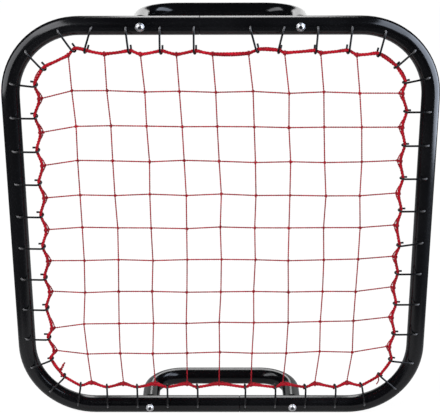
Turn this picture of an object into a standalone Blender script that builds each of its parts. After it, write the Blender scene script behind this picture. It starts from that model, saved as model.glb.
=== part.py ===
"""Square hand rebounder: a knotted net hooked into a steel tube frame that has a U-shaped tube
handle at its top and another at its bottom.

Metres, +Z up. The frame stands upright, with the net's side towards -Y, on its bottom tube and on
the lower handle's bar. The origin is on the floor, under the middle of the whole object.

Places in the frame's plane are written (x, z) from the middle of the frame, and a depth is measured
from the plane of the tube's centre line towards the front.
"""

import math
import random

import bmesh
import bpy
from mathutils import Matrix, Vector

MM = 0.001
DEGREE = math.pi / 180

# Clearance left between pieces that touch on the real object
GAP = 0.3 * MM

# Frame tube, bent in two halves of one shape
FRAME_SIZE = 600 * MM
TUBE_RADIUS = 12.7 * MM
TUBE_WALL = 1.5 * MM
CORNER_RADIUS = 98 * MM
CORNER_STEPS = 8
TUBE_SIDES = 16
BORE_SIDES = 10

# Joint between the halves: one end of each is swaged down to plug into the other half's plain end
SEAM_OFFSET = 27.7 * MM
SPIGOT_LENGTH = 55 * MM
SPIGOT_LEAD_IN = 2 * MM
SHOULDER_LENGTH = 1.2 * MM
END_CHAMFER = 0.8 * MM

# Hook holes, drilled through the front wall of the tube only
RUN_HOLES = 5
SIDE_HOLES = 10
SIDE_LAST_HOLE_PAST_BEND_START = 26.5 * MM
HOOK_HOLE_RADIUS = 2.6 * MM
HOOK_HOLE_TO_SCREW = 12 * MM
HOLE_SIDES = 8

# The halves were drilled by hand, so each has distances of its own, which run along the tube. The
# first run and corner are the ones clockwise from its top seam. A run goes from its first hole,
# measured from the frame's middle, to its last one, measured from where the bend starts. The side's
# holes are shifted towards the first run, and each corner's hole from its middle towards the side
DRILLING = {
    "right": {
        "first_run": (39.5 * MM, 32.1 * MM),
        "first_corner": 3.9 * MM,
        "side": 3.0 * MM,
        "second_corner": 3.6 * MM,
        "second_run": (36.3 * MM, 26.6 * MM),
    },
    "left": {
        "first_run": (35.0 * MM, 26.1 * MM),
        "first_corner": -2.9 * MM,
        "side": 5.1 * MM,
        "second_corner": 4.8 * MM,
        "second_run": (35.3 * MM, 28.1 * MM),
    },
}

# Wire hooks
HOOK_WIRE_RADIUS = 1.4 * MM
HOOK_REACH = 37.8 * MM
HOOK_ROOT_BEND = 3 * MM
HOOK_LEG_END_DEPTH = 3 * MM
HOOK_STEM_RISE = 0.7 * MM
HOOK_TIP_LENGTH = 4 * MM
HOOK_TWIST_SPREAD = 3 * DEGREE
HOOK_FAN = 1.2
HOOK_SLACK = 1.4 * MM
HOOK_BEND_STEPS = 4

# How far the hooks are turned about their stems, their tips clockwise round the frame
HOOK_TWISTS = {"top": 16 * DEGREE, "right": 2 * DEGREE, "bottom": 8 * DEGREE, "left": 15 * DEGREE}

# Hooks that were turned or pulled sideways by hand, by hook number, clockwise positive
HAND_TWISTS = {8: -10 * DEGREE, 9: -12 * DEGREE, 10: -10 * DEGREE, 34: 0}
HAND_LEANS = {
    1: 24 * DEGREE,
    2: -18 * DEGREE,
    3: 6 * DEGREE,
    6: 16 * DEGREE,
    7: -13 * DEGREE,
    9: -6 * DEGREE,
    17: 8 * DEGREE,
    34: 10 * DEGREE,
    44: -6 * DEGREE,
}

# Border rope and net
ROPE_RADIUS = 1.7 * MM
ROPE_SEAT_CLEARANCE = 0.3 * MM
ROPE_BEARING = 2 * MM
TWINE_SIZE = 1.6 * MM
KNOT_SIZE = 3.4 * MM
KNOT_NECK = 2.4 * MM
LINES = 9
EDGE_MESH_WIDTH = 57.8 * MM
EDGE_MESH_HEIGHT = 53.9 * MM
RIGHT_ROWS_CLOSER = 0.022
TOP_ROW_LEAN = -5.9 * MM
BOTTOM_ROW_LEAN = -2.2 * MM
NET_SAG = 0.9 * MM
HOOK_TO_LINE = 7 * MM
SCALLOP_RUN_UP = 12 * MM
KNOT_SCATTER = 1.5 * MM
KNOT_SEED = 39468

# Each side of the net: distance of the outermost line ends from the rope's corner, their shift
# along the side, how far the lines pull the rope in between its hooks, and how far they stop short
# of the rope
LINE_ENDS = {
    "top": (60.1 * MM, -10.4 * MM, 4 * MM, 2.6 * MM),
    "right": (62.5 * MM, 3.5 * MM, 4.5 * MM, 3.5 * MM),
    "bottom": (63.3 * MM, -3 * MM, 3 * MM, 3.5 * MM),
    "left": (62.5 * MM, -3 * MM, 6 * MM, 3.5 * MM),
}

# A line end and a knot that slipped out of their rows. Lines are counted from the lower left
SLIPPED_SIDE = "left"
SLIPPED_LINE = 1
SLIPPED_END = -11 * MM
SLIPPED_KNOT_COLUMN = 0
SLIPPED_KNOT_ROW = 1
SLIPPED_KNOT = -4 * MM

# Handles
HANDLE_TUBE_RADIUS = 12.7 * MM
HANDLE_WALL = 1.5 * MM
HANDLE_LEG_SPACING = 214 * MM
HANDLE_DEPTH = 91 * MM
HANDLE_BEND_RADIUS = 47 * MM
HANDLE_BEND_STEPS = 6

# Screws that hold the handles, and the threaded plugs in the handles' legs
SCREW_RADIUS = 3 * MM
SCREW_HEAD_RADIUS = 6 * MM
SCREW_HEAD_HEIGHT = 3.6 * MM
SCREW_FLANGE_HEIGHT = 1.0 * MM
SCREW_SOCKET_WIDTH = 4 * MM
SCREW_SOCKET_DEPTH = 2.2 * MM
SCREW_GRIP_IN_PLUG = 16 * MM
SCREW_STEPS = 12
PLUG_LENGTH = 22 * MM
PLUG_SIDES = 16

# Worked out from the sizes above
HALF = FRAME_SIZE / 2 - TUBE_RADIUS
RUN = HALF - CORNER_RADIUS
BORE_RADIUS = TUBE_RADIUS - TUBE_WALL
HANDLE_BORE_RADIUS = HANDLE_TUBE_RADIUS - HANDLE_WALL
SPIGOT_OUTSIDE = BORE_RADIUS - GAP
SPIGOT_RADIUS = SPIGOT_OUTSIDE * math.cos(math.pi / TUBE_SIDES)
SPIGOT_BORE_RADIUS = SPIGOT_RADIUS - TUBE_WALL
HOOK_STEM_DEPTH = TUBE_RADIUS + GAP + HOOK_WIRE_RADIUS
HOOK_EYE_DEPTH = HOOK_STEM_DEPTH + HOOK_STEM_RISE
NET_BEHIND_ROPE = ROPE_RADIUS + TWINE_SIZE / 2 + GAP
HOOK_BEND_RADIUS = HOOK_WIRE_RADIUS + NET_BEHIND_ROPE + TWINE_SIZE / 2 + HOOK_SLACK
HOOK_CENTRE = HOOK_REACH - HOOK_WIRE_RADIUS - HOOK_BEND_RADIUS
ROPE_SEAT = HOOK_CENTRE + HOOK_BEND_RADIUS - HOOK_WIRE_RADIUS - ROPE_RADIUS - ROPE_SEAT_CLEARANCE
ROPE_DEPTH = HOOK_EYE_DEPTH - HOOK_BEND_RADIUS
NET_DEPTH = ROPE_DEPTH - NET_BEHIND_ROPE
ROPE_LINE = HALF - ROPE_SEAT
MESH_WIDTH = 2 * (ROPE_LINE - EDGE_MESH_WIDTH) / (LINES - 1)
MESH_HEIGHT = 2 * (ROPE_LINE - EDGE_MESH_HEIGHT) / (LINES - 1)
FRONT = HOOK_EYE_DEPTH + HOOK_WIRE_RADIUS
REAR = HANDLE_DEPTH + HANDLE_TUBE_RADIUS
FRONT_WITH_SCREW = max(FRONT, TUBE_RADIUS + GAP + SCREW_HEAD_HEIGHT)
FRAME_Y = (FRONT_WITH_SCREW - REAR) / 2
FRAME_Z = FRAME_SIZE / 2


def clear_scene():
    for obj in list(bpy.data.objects):
        bpy.data.objects.remove(obj)


def new_collection(name):
    group = bpy.data.collections.new(name)
    bpy.context.scene.collection.children.link(group)
    return group


def material(name, colour, roughness, metallic=0.0):
    made = bpy.data.materials.new(name)
    made.use_nodes = True
    shader = made.node_tree.nodes["Principled BSDF"]
    shader.inputs["Base Color"].default_value = (*colour, 1.0)
    shader.inputs["Roughness"].default_value = roughness
    shader.inputs["Metallic"].default_value = metallic
    return made


def place(point, depth):
    """World place of a point (x, z) of the frame's plane, at a depth in front of it."""
    return Vector((point[0], FRAME_Y - depth, FRAME_Z + point[1]))


def arc(centre, radius, start, end, steps):
    """Points on an arc in the plane, its first one left out."""
    points = []
    for step in range(1, steps + 1):
        angle = start + (end - start) * step / steps
        points.append(centre + radius * Vector((math.cos(angle), math.sin(angle))))
    return points


def tube(name, path, radius, sides, scales=None, closed=False):
    """A swept tube whose flats lie at the radius, on a path of 3D points."""
    data = bpy.data.curves.new(name, "CURVE")
    data.dimensions = "3D"
    data.bevel_depth = radius / math.cos(math.pi / sides)
    data.bevel_resolution = (sides - 4) // 2
    data.use_fill_caps = not closed
    spline = data.splines.new("POLY")
    spline.points.add(len(path) - 1)
    spline.use_cyclic_u = closed
    scales = scales or [1.0] * len(path)
    for point, spot, scale in zip(spline.points, path, scales):
        point.co = (*spot, 1.0)
        point.radius = scale
        point.tilt = math.pi / sides
    curve = bpy.data.objects.new(name, data)
    bpy.context.scene.collection.objects.link(curve)
    return curve


def evaluated_mesh(obj, name):
    """The object's shape as it is drawn, as a mesh of its own, with loose caps welded."""
    bpy.context.view_layer.update()
    graph = bpy.context.evaluated_depsgraph_get()
    mesh = bpy.data.meshes.new_from_object(obj.evaluated_get(graph))
    mesh.name = name
    shape = bmesh.new()
    shape.from_mesh(mesh)
    bmesh.ops.remove_doubles(shape, verts=shape.verts, dist=0.001 * MM)
    shape.to_mesh(mesh)
    shape.free()
    return mesh


def swept_mesh(name, path, radius, sides, scales=None):
    """Mesh object of a tube, for a piece that is cut or that cuts."""
    curve = tube(name, path, radius, sides, scales)
    mesh = evaluated_mesh(curve, name)
    bpy.data.objects.remove(curve)
    return bpy.data.objects.new(name, mesh)


def cut(obj, cutter):
    """Takes the cutter's shape out of the object."""
    cutters.objects.link(cutter)
    cutter.hide_render = True
    cutter.display_type = "WIRE"
    modifier = obj.modifiers.new("cut by " + cutter.name, "BOOLEAN")
    modifier.operation = "DIFFERENCE"
    modifier.object = cutter


def drill(name, places, radius, sides, near, far):
    """One cutter of straight holes along Y, at places in the frame's plane."""
    shape = bmesh.new()
    for spot in places:
        turn = Matrix.Rotation(math.pi / 2, 4, "X") @ Matrix.Rotation(math.pi / sides, 4, "Z")
        move = Matrix.Translation((spot[0], -(near + far) / 2, spot[1]))
        bmesh.ops.create_cone(
            shape,
            cap_ends=True,
            segments=sides,
            radius1=radius,
            radius2=radius,
            depth=abs(far - near),
            matrix=move @ turn,
        )
    mesh = bpy.data.meshes.new(name)
    shape.to_mesh(mesh)
    shape.free()
    return bpy.data.objects.new(name, mesh)


def smooth(mesh, angle=40 * DEGREE):
    mesh.shade_smooth()
    mesh.set_sharp_from_angle(angle=angle)


def add_piece(name, mesh, finish, matrix):
    """A finished piece that shares its mesh with its copies."""
    if not mesh.materials:
        mesh.materials.append(finish)
    piece = bpy.data.objects.new(name, mesh)
    parts.objects.link(piece)
    piece.matrix_world = matrix
    return piece


def finished(worker, name):
    """The worked shape as one mesh. The working object goes, its cutters stay in their collection."""
    bpy.context.scene.collection.objects.link(worker)
    mesh = evaluated_mesh(worker, name)
    bpy.data.objects.remove(worker)
    smooth(mesh)
    return mesh


def half_path(start_x, end_x):
    """Centre line of the right half, from the top run over the right side to the bottom run."""
    top_centre = Vector((RUN, RUN))
    bottom_centre = Vector((RUN, -RUN))
    points = [Vector((start_x, HALF)), Vector((RUN, HALF))]
    points += arc(top_centre, CORNER_RADIUS, math.pi / 2, 0, CORNER_STEPS)
    points.append(Vector((HALF, -RUN)))
    points += arc(bottom_centre, CORNER_RADIUS, 0, -math.pi / 2, CORNER_STEPS)
    points.append(Vector((end_x, -HALF)))
    return points


def in_depth(points):
    """The plane's points as 3D ones about the frame's middle."""
    return [Vector((point.x, 0, point.y)) for point in points]


def station(along):
    """Place, inward direction and clockwise direction on the right half, by the length along its
    centre line from the middle of the side, downwards positive."""
    turn = 1 if along > 0 else -1
    beyond = abs(along) - RUN
    bend = CORNER_RADIUS * math.pi / 2
    if beyond <= 0:
        return Vector((HALF, -along)), Vector((-1, 0)), Vector((0, -1))
    if beyond < bend:
        angle = beyond / CORNER_RADIUS
        outward = Vector((math.cos(angle), -turn * math.sin(angle)))
        spot = Vector((RUN, -turn * RUN)) + CORNER_RADIUS * outward
        return spot, -outward, Vector((outward.y, -outward.x))
    x = RUN - (beyond - bend)
    return Vector((x, -turn * HALF)), Vector((0, turn)), Vector((-turn, 0))


def hole_stations(half):
    """A half's hook holes, clockwise from its top seam, as they lie on the right half."""
    drilled = DRILLING[half]
    bend = CORNER_RADIUS * math.pi / 2

    def clear_of_screw(length):
        past_screw = length - (RUN + bend + RUN - HANDLE_LEG_SPACING / 2)
        if abs(past_screw) > HOOK_HOLE_TO_SCREW:
            return length
        return length - past_screw + math.copysign(HOOK_HOLE_TO_SCREW, past_screw)

    def run_lengths(from_middle, past_bend_start):
        first = RUN + bend + RUN - from_middle
        pitch = (first - RUN - bend + past_bend_start) / (RUN_HOLES - 1)
        return [clear_of_screw(first - pitch * k) for k in range(RUN_HOLES)]

    side_last = RUN + SIDE_LAST_HOLE_PAST_BEND_START
    side_pitch = 2 * side_last / (SIDE_HOLES - 1)
    lengths = [-length for length in run_lengths(*drilled["first_run"])]
    lengths.append(drilled["first_corner"] - RUN - bend / 2)
    lengths += [side_pitch * k - side_last - drilled["side"] for k in range(SIDE_HOLES)]
    lengths.append(RUN + bend / 2 - drilled["second_corner"])
    lengths += run_lengths(*drilled["second_run"])[::-1]
    return [station(length) for length in lengths]


def build_frame():
    """Two tubes with the same bends, the second one turned half a turn about the frame's middle."""
    path = half_path(GAP - SEAM_OFFSET, SEAM_OFFSET + SHOULDER_LENGTH)
    path.insert(1, path[0] + Vector((END_CHAMFER, 0)))
    path.append(Vector((SEAM_OFFSET, -HALF)))
    spigot_end = SEAM_OFFSET - SPIGOT_LENGTH
    path.append(Vector((spigot_end + SPIGOT_LEAD_IN, -HALF)))
    path.append(Vector((spigot_end, -HALF)))
    spigot_scale = SPIGOT_RADIUS / TUBE_RADIUS
    chamfer_scale = 1 - END_CHAMFER / TUBE_RADIUS
    scales = [1.0] * len(path)
    scales[0] = chamfer_scale
    scales[-3:] = [spigot_scale, spigot_scale, spigot_scale * chamfer_scale]
    bore_end = SEAM_OFFSET + SHOULDER_LENGTH + TUBE_WALL
    bore_path = half_path(-SEAM_OFFSET - TUBE_RADIUS, bore_end)
    bore_path.append(Vector((SEAM_OFFSET, -HALF)))
    bore_path.append(Vector((spigot_end - TUBE_RADIUS, -HALF)))
    bore_scales = [1.0] * len(bore_path)
    bore_scales[-2:] = [SPIGOT_BORE_RADIUS / BORE_RADIUS] * 2

    front = TUBE_RADIUS + TUBE_WALL
    leg = HANDLE_LEG_SPACING / 2
    screws = [(leg, HALF), (leg, -HALF)]
    middle = Matrix.Translation((0, FRAME_Y, FRAME_Z))
    for side, turn in (("right", 0), ("left", math.pi)):
        name = "frame_half_" + side
        half = swept_mesh(name, in_depth(path), TUBE_RADIUS, TUBE_SIDES, scales)
        bore = swept_mesh("bore_" + side, in_depth(bore_path), BORE_RADIUS, BORE_SIDES, bore_scales)
        cut(half, bore)
        holes = [spot for spot, inward, clockwise in hole_stations(side)]
        hook_holes = "hook_holes_" + side
        cut(half, drill(hook_holes, holes, HOOK_HOLE_RADIUS, HOLE_SIDES, front, HOOK_LEG_END_DEPTH))
        screw_holes = "screw_holes_" + side
        cut(half, drill(screw_holes, screws, SCREW_RADIUS + GAP, HOLE_SIDES, front, -front))
        mesh = finished(half, name)
        add_piece(name, mesh, powder_coat, middle @ Matrix.Rotation(turn, 4, "Y"))


def build_handles():
    """U-shaped tubes whose leg ends are notched to sit against the back of the frame tube."""
    leg = HANDLE_LEG_SPACING / 2
    bend_x = leg - HANDLE_BEND_RADIUS
    bend_y = HANDLE_DEPTH - HANDLE_BEND_RADIUS
    start = TUBE_RADIUS / 2
    flat = [Vector((leg, start)), Vector((leg, bend_y))]
    flat += arc(Vector((bend_x, bend_y)), HANDLE_BEND_RADIUS, 0, math.pi / 2, HANDLE_BEND_STEPS)
    flat.append(Vector((-bend_x, HANDLE_DEPTH)))
    other = arc(
        Vector((-bend_x, bend_y)), HANDLE_BEND_RADIUS, math.pi / 2, math.pi, HANDLE_BEND_STEPS
    )
    flat += other
    flat.append(Vector((-leg, start)))
    path = [Vector((point.x, point.y, 0)) for point in flat]
    handle = swept_mesh("handle", path, HANDLE_TUBE_RADIUS, TUBE_SIDES)
    bore = list(path)
    bore[0] = path[0] - Vector((0, TUBE_RADIUS, 0))
    bore[-1] = path[-1] - Vector((0, TUBE_RADIUS, 0))
    cut(handle, swept_mesh("handle_bore", bore, HANDLE_BORE_RADIUS, BORE_SIDES))
    cut(handle, saddle("handle_saddle", leg + 2 * HANDLE_TUBE_RADIUS))
    mesh = finished(handle, "handle")
    for name, side in (("handle_upper", 1), ("handle_lower", -1)):
        add_piece(name, mesh, powder_coat, Matrix.Translation((0, FRAME_Y, FRAME_Z + side * HALF)))


def saddle(name, reach):
    """Cutter of the frame tube's shape, as long on each side as it has to reach."""
    path = [Vector((-reach, 0, 0)), Vector((reach, 0, 0))]
    return swept_mesh(name, path, TUBE_RADIUS + GAP, TUBE_SIDES)


def turned(name, profile, steps):
    """A turned solid about Z, from profile points (radius, height) that run down its outside."""
    mesh = bpy.data.meshes.new(name)
    points = [(radius, 0, height) for radius, height in profile]
    edges = [(k, k + 1) for k in range(len(points) - 1)]
    mesh.from_pydata(points, edges, [])
    obj = bpy.data.objects.new(name, mesh)
    screw = obj.modifiers.new("turn", "SCREW")
    screw.axis = "Z"
    screw.steps = steps
    screw.render_steps = steps
    screw.use_merge_vertices = True
    screw.merge_threshold = 0.01 * MM
    return obj


def handle_places():
    leg = HANDLE_LEG_SPACING / 2
    return {
        "upper_left": (-leg, HALF),
        "upper_right": (leg, HALF),
        "lower_left": (-leg, -HALF),
        "lower_right": (leg, -HALF),
    }


def build_screws():
    """Domed flange screws with a hex socket, put in from the front."""
    length = 2 * TUBE_RADIUS + 2 * GAP + SCREW_GRIP_IN_PLUG
    dome_radius = 0.72 * SCREW_HEAD_RADIUS
    dome_height = 0.75 * SCREW_HEAD_HEIGHT
    crown_radius = 0.42 * SCREW_HEAD_RADIUS
    profile = [
        (0, SCREW_HEAD_HEIGHT),
        (crown_radius, SCREW_HEAD_HEIGHT),
        (dome_radius, dome_height),
        (0.92 * SCREW_HEAD_RADIUS, SCREW_FLANGE_HEIGHT),
        (SCREW_HEAD_RADIUS, 0.5 * SCREW_FLANGE_HEIGHT),
        (SCREW_HEAD_RADIUS, 0),
        (SCREW_RADIUS, 0),
        (SCREW_RADIUS, -length + 0.5 * SCREW_RADIUS),
        (0.7 * SCREW_RADIUS, -length),
        (0, -length),
    ]
    screw = turned("screw", profile, SCREW_STEPS)
    socket = bmesh.new()
    bmesh.ops.create_cone(
        socket,
        cap_ends=True,
        segments=6,
        radius1=SCREW_SOCKET_WIDTH / 2 / math.cos(math.pi / 6),
        radius2=SCREW_SOCKET_WIDTH / 2 / math.cos(math.pi / 6),
        depth=2 * SCREW_SOCKET_DEPTH,
        matrix=Matrix.Translation((0, 0, SCREW_HEAD_HEIGHT)),
    )
    socket_mesh = bpy.data.meshes.new("screw_socket")
    socket.to_mesh(socket_mesh)
    socket.free()
    cut(screw, bpy.data.objects.new("screw_socket", socket_mesh))
    mesh = finished(screw, "handle_screw")
    facing_front = Matrix.Rotation(math.pi / 2, 4, "X")
    for name, spot in handle_places().items():
        seat = Matrix.Translation(place(spot, TUBE_RADIUS + GAP))
        add_piece("handle_screw_" + name, mesh, zinc, seat @ facing_front)


def build_plugs():
    """Threaded steel plugs, pressed into the ends of the handles' legs."""
    radius = (HANDLE_BORE_RADIUS - GAP) * math.cos(math.pi / PLUG_SIDES)
    path = [Vector((0, TUBE_RADIUS / 2, 0)), Vector((0, TUBE_RADIUS + PLUG_LENGTH, 0))]
    plug = swept_mesh("plug", path, radius, PLUG_SIDES)
    thread = drill("plug_thread", [(0, 0)], SCREW_RADIUS + GAP, HOLE_SIDES, 0, -2 * PLUG_LENGTH)
    cut(plug, thread)
    cut(plug, saddle("plug_saddle", 2 * HANDLE_TUBE_RADIUS))
    mesh = finished(plug, "leg_plug")
    for name, spot in handle_places().items():
        add_piece("leg_plug_" + name, mesh, plain_steel, Matrix.Translation(place(spot, 0)))


def hook_mesh():
    """One wire hook, its stem along +X from the hole and its depth along -Y."""
    root = HOOK_ROOT_BEND
    stem = HOOK_STEM_DEPTH
    eye = HOOK_EYE_DEPTH
    bend = HOOK_BEND_RADIUS
    flat = [Vector((0, HOOK_LEG_END_DEPTH)), Vector((0, stem - root))]
    flat += arc(Vector((root, stem - root)), root, math.pi, math.pi / 2, 2)
    flat.append(Vector((HOOK_CENTRE, eye)))
    centre = Vector((HOOK_CENTRE, eye - bend))
    flat += arc(centre, bend, math.pi / 2, -math.pi / 2, HOOK_BEND_STEPS)
    flat.append(flat[-1] - Vector((HOOK_TIP_LENGTH, 0)))
    path = [Vector((point.x, -point.y, 0)) for point in flat]
    worker = swept_mesh("hook", path, HOOK_WIRE_RADIUS * math.cos(math.pi / 6), 6)
    return finished(worker, "net_hook")


def side_of(spot):
    if abs(spot[0]) > abs(spot[1]):
        return "right" if spot[0] > 0 else "left"
    return "top" if spot[1] > 0 else "bottom"


def line_end_places(side):
    """Where the net's lines end along a side, lowest coordinate first."""
    edge, shift = LINE_ENDS[side][:2]
    middle = (LINES - 1) / 2
    pitch = (ROPE_LINE - edge) / middle
    places = [pitch * (k - middle) + shift for k in range(LINES)]
    if side == SLIPPED_SIDE:
        places[SLIPPED_LINE] += SLIPPED_END
    return places


def settled_lean(number, spot, inward, clockwise):
    """Angle by which a hook leans clockwise, by hand or so that its eye clears the net's lines."""
    lean = HAND_LEANS.get(number, 0.0)
    axis = 0 if abs(inward.y) > abs(inward.x) else 1
    if abs(spot[axis]) > RUN:
        return lean
    eye = spot[axis] + ROPE_SEAT * math.sin(lean) * clockwise[axis]
    ends = line_end_places(side_of(spot))
    below = [end for end in ends if end < eye]
    above = [end for end in ends if end > eye]
    low = below[-1] + HOOK_TO_LINE if below else eye
    high = above[0] - HOOK_TO_LINE if above else eye
    if low <= eye <= high:
        return lean
    sideways = (min(max(eye, low), high) - spot[axis]) * clockwise[axis]
    return math.asin(sideways / ROPE_SEAT)


def hook_places():
    """Every hook's number, hole, direction, clockwise direction square to it, and twist about its
    stem, clockwise from the top left."""
    right = hole_stations("right")
    left = [(-spot, -inward, -clockwise) for spot, inward, clockwise in hole_stations("left")]
    chance = random.Random(11)
    places = []
    for k, (spot, inward, clockwise) in enumerate(right + left):
        number = (RUN_HOLES + k) % (2 * len(right)) + 1
        lean = settled_lean(number, spot, inward, clockwise)
        straight = fanned(inward)
        across = Vector((-straight.y, straight.x))
        if across.dot(clockwise) < 0:
            across = -across
        aim = math.cos(lean) * straight + math.sin(lean) * across
        square = math.cos(lean) * across - math.sin(lean) * straight
        twist = HAND_TWISTS.get(number, HOOK_TWISTS[side_of(spot)])
        twist += HOOK_TWIST_SPREAD * (2 * chance.random() - 1)
        places.append((number, spot, aim, square, twist))
    return sorted(places, key=lambda item: item[0])


def fanned(inward):
    """Corner hooks point inwards, but are drawn squarer to the sides than the bend's radius."""
    angle = math.atan2(abs(inward.y), abs(inward.x))
    angle = math.pi / 4 + HOOK_FAN * (angle - math.pi / 4)
    angle = min(max(angle, 0), math.pi / 2)
    return Vector((math.copysign(math.cos(angle), inward.x), math.copysign(math.sin(angle), inward.y)))


def build_hooks(places):
    mesh = hook_mesh()
    for number, spot, aim, square, twist in places:
        heading = Matrix.Rotation(-math.atan2(aim.y, aim.x), 4, "Y")
        stem_line = Matrix.Translation((0, -HOOK_STEM_DEPTH, 0))
        roll = stem_line @ Matrix.Rotation(twist, 4, "X") @ stem_line.inverted()
        add_piece(
            f"net_hook_{number:02d}",
            mesh,
            hook_black,
            Matrix.Translation(place(spot, 0)) @ heading @ roll,
        )


def clockwise_order(point):
    """Sorting key that goes clockwise from the left end of the top run."""
    angle = math.atan2(point.y, point.x)
    return (3 * math.pi / 4 - angle) % (2 * math.pi)


def border_points(places):
    """Border of the net, clockwise: hooks and line ends, each with its rope and selvedge point."""
    border = []
    for number, spot, aim, square, twist in places:
        rope_drop = HOOK_STEM_DEPTH - ROPE_DEPTH
        net_drop = HOOK_STEM_DEPTH - NET_DEPTH
        border.append(
            {
                "key": ("hook", number),
                "rope": spot + ROPE_SEAT * aim + rope_drop * math.sin(twist) * square,
                "rope_depth": HOOK_STEM_DEPTH - rope_drop * math.cos(twist),
                "selvedge": spot + HOOK_CENTRE * aim + net_drop * math.sin(twist) * square,
                "selvedge_depth": HOOK_STEM_DEPTH - net_drop * math.cos(twist),
                "square": square,
            }
        )
    border.sort(key=lambda item: clockwise_order(item["rope"]))
    inwards = {
        "top": Vector((0, -1)),
        "right": Vector((-1, 0)),
        "bottom": Vector((0, 1)),
        "left": Vector((1, 0)),
    }
    ends = []
    for side, inward in inwards.items():
        scallop, inset = LINE_ENDS[side][2:]
        for k, along in enumerate(line_end_places(side)):
            axis = 0 if side in ("top", "bottom") else 1
            guess = -ROPE_LINE * inward
            guess[axis] = along
            order = clockwise_order(guess)
            after = next(
                (n for n, item in enumerate(border) if clockwise_order(item["rope"]) > order), 0
            )
            before_point = border[after - 1]["rope"]
            after_point = border[after]["rope"]
            share = (along - before_point[axis]) / (after_point[axis] - before_point[axis])
            share = min(max(share, 0), 1)
            base = before_point.lerp(after_point, share)
            nearest = min((base - before_point).length, (base - after_point).length)
            pulled = base + inward * scallop * min(1, nearest / SCALLOP_RUN_UP)
            ends.append(
                {
                    "key": (side, k),
                    "rope": pulled,
                    "rope_depth": ROPE_DEPTH,
                    "selvedge": pulled + inset * inward,
                    "selvedge_depth": NET_DEPTH,
                }
            )
    border += ends
    border.sort(key=lambda item: clockwise_order(item["rope"]))
    return border


def build_rope(border):
    """Border rope, laid square over each hook's bend."""
    path = []
    for item in border:
        here = item["rope"]
        depth = item["rope_depth"]
        if "square" in item:
            path.append(place(here - ROPE_BEARING * item["square"], depth))
            path.append(place(here + ROPE_BEARING * item["square"], depth))
        else:
            path.append(place(here, depth))
    rope = tube("border_rope", path, ROPE_RADIUS * math.cos(math.pi / 6), 6, closed=True)
    bpy.context.scene.collection.objects.unlink(rope)
    parts.objects.link(rope)
    rope.data.materials.append(red_rope)


def inner_knots():
    """Places of the knots where the net's lines cross, by column and row from the lower left."""
    chance = random.Random(KNOT_SEED)
    middle = (LINES - 1) / 2
    knots = {}
    for column in range(LINES):
        for row in range(LINES):
            level = (row - middle) / middle
            lean = (TOP_ROW_LEAN if level > 0 else BOTTOM_ROW_LEAN) * level**2
            x = MESH_WIDTH * (column - middle) + lean
            z = MESH_HEIGHT * (row - middle) * (1 - RIGHT_ROWS_CLOSER * column / (LINES - 1))
            scatter = Vector((chance.random() - 0.5, chance.random() - 0.5)) * 2 * KNOT_SCATTER
            knots[column, row] = Vector((x, z - NET_SAG)) + scatter
    knots[SLIPPED_KNOT_COLUMN, SLIPPED_KNOT_ROW].x += SLIPPED_KNOT
    return knots


def build_net(border):
    """Knotted square-mesh net: its meshes are the faces of one sheet, and a wireframe of the sheet
    gives the twine, thicker at the knots."""
    shape = bmesh.new()
    corners = {}
    knots = []

    def corner(key, point, depth, knotted):
        if key not in corners:
            corners[key] = shape.verts.new(place(point, depth))
            if knotted:
                knots.append(corners[key])
        return corners[key]

    def strand(first, second):
        """Corners from the first to just before the second, with a neck beside each knot."""
        line = [first]
        span = (second.co - first.co).normalized()
        ends = ((first, span), (second, -span))
        for vertex, towards in ends:
            if vertex in knots:
                key = (vertex, first if vertex is second else second)
                if key not in corners:
                    corners[key] = shape.verts.new(vertex.co + KNOT_NECK * towards)
                line.append(corners[key])
        return line

    inner = inner_knots()
    last = LINES - 1
    crossing = {key: corner(key, point, NET_DEPTH, True) for key, point in inner.items()}
    rim = []
    for item in border:
        knotted = "square" not in item
        rim.append(corner(item["key"], item["selvedge"], item["selvedge_depth"], knotted))
    index = {item["key"]: k for k, item in enumerate(border)}

    def rim_between(first, second):
        """Border corners clockwise from one line end to another."""
        k = index[first]
        line = [rim[k]]
        while k != index[second]:
            k = (k + 1) % len(rim)
            line.append(rim[k])
        return line

    meshes = []
    for a in range(last):
        for b in range(last):
            square = [(a, b), (a, b + 1), (a + 1, b + 1), (a + 1, b)]
            meshes.append([crossing[key] for key in square])
        meshes.append(
            rim_between(("top", a), ("top", a + 1)) + [crossing[a + 1, last], crossing[a, last]]
        )
        meshes.append(
            rim_between(("bottom", a + 1), ("bottom", a)) + [crossing[a, 0], crossing[a + 1, 0]]
        )
        meshes.append(
            rim_between(("left", a), ("left", a + 1)) + [crossing[0, a + 1], crossing[0, a]]
        )
        meshes.append(
            rim_between(("right", a + 1), ("right", a)) + [crossing[last, a], crossing[last, a + 1]]
        )
    meshes.append(rim_between(("left", last), ("top", 0)) + [crossing[0, last]])
    meshes.append(rim_between(("top", last), ("right", last)) + [crossing[last, last]])
    meshes.append(rim_between(("right", 0), ("bottom", last)) + [crossing[last, 0]])
    meshes.append(rim_between(("bottom", 0), ("left", 0)) + [crossing[0, 0]])

    for loop in meshes:
        ring = []
        for k, vertex in enumerate(loop):
            ring += strand(vertex, loop[(k + 1) % len(loop)])
        shape.faces.new(ring)

    mesh = bpy.data.meshes.new("net")
    shape.verts.index_update()
    knotted = [vertex.index for vertex in knots]
    shape.to_mesh(mesh)
    shape.free()
    net = bpy.data.objects.new("net", mesh)
    parts.objects.link(net)
    net.data.materials.append(red_twine)
    net.vertex_groups.new(name="knots").add(knotted, 1.0, "REPLACE")
    wire = net.modifiers.new("twine", "WIREFRAME")
    wire.thickness = KNOT_SIZE
    wire.vertex_group = "knots"
    wire.thickness_vertex_group = TWINE_SIZE / KNOT_SIZE
    wire.use_boundary = True
    wire.use_even_offset = False


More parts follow.
